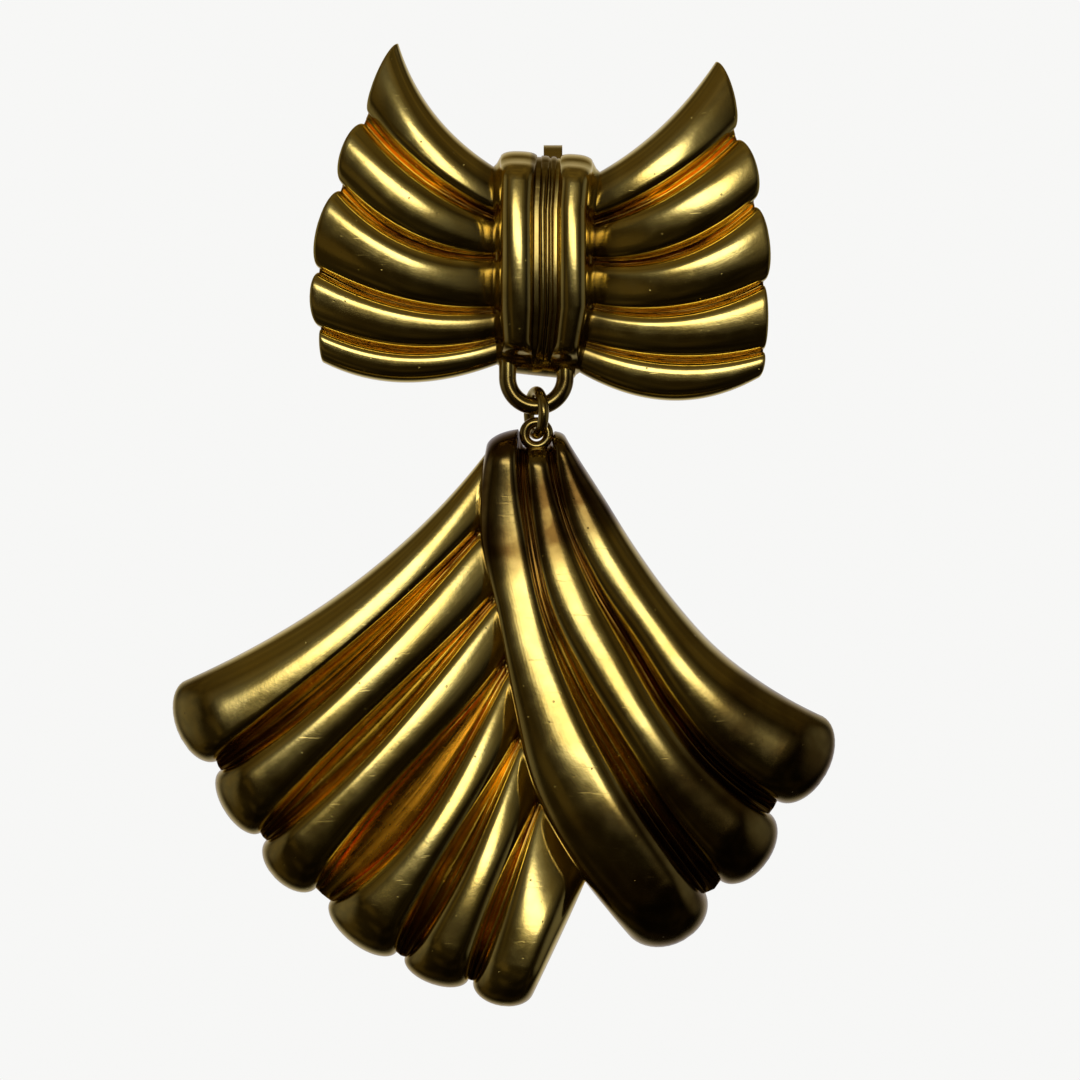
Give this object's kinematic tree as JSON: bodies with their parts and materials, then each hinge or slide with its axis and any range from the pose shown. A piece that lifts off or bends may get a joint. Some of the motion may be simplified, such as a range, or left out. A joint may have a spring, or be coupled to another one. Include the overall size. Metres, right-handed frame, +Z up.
{
  "type": "clip brooch",
  "caption": "Clip brooch shaped as a pleated bow with a tied knot, from which an asymmetric pleated fan drop hangs on a jump ring; polished gold-tone metal with a spring clip behind.",
  "frame": {"origin": "where the spring clip grips the cloth, level with the middle of the knot; the cloth lies in the plane Y = 0", "axes": "+Z up, from the drop to the knot; -Y forward, out of the cloth towards the viewer; +X to the viewer's right"},
  "size_m": [0.0496, 0.0091, 0.0722],
  "materials": {
    "gold": "polished gold plate with matte grooves",
    "clip_metal": "satin gold plate"
  },
  "bodies": {
    "brooch": {"bow": "gold", "clip": "clip_metal"},
    "ring": {"link": "gold"},
    "fan_drop": {"drop": "gold"}
  },
  "joints": [
    {"name": "ring_swing", "type": "hinge", "parent": "brooch", "child": "ring", "pos_m": [-0.00065, -0.0023, -0.01025], "axis": [-1, 0, 0], "range_deg": [-45, 75]},
    {"name": "drop_swing", "type": "hinge", "parent": "ring", "child": "fan_drop", "pos_m": [-0.00065, -0.0023, -0.01233], "axis": [0, 1, 0], "range_deg": [-35, 35]}
  ]
}
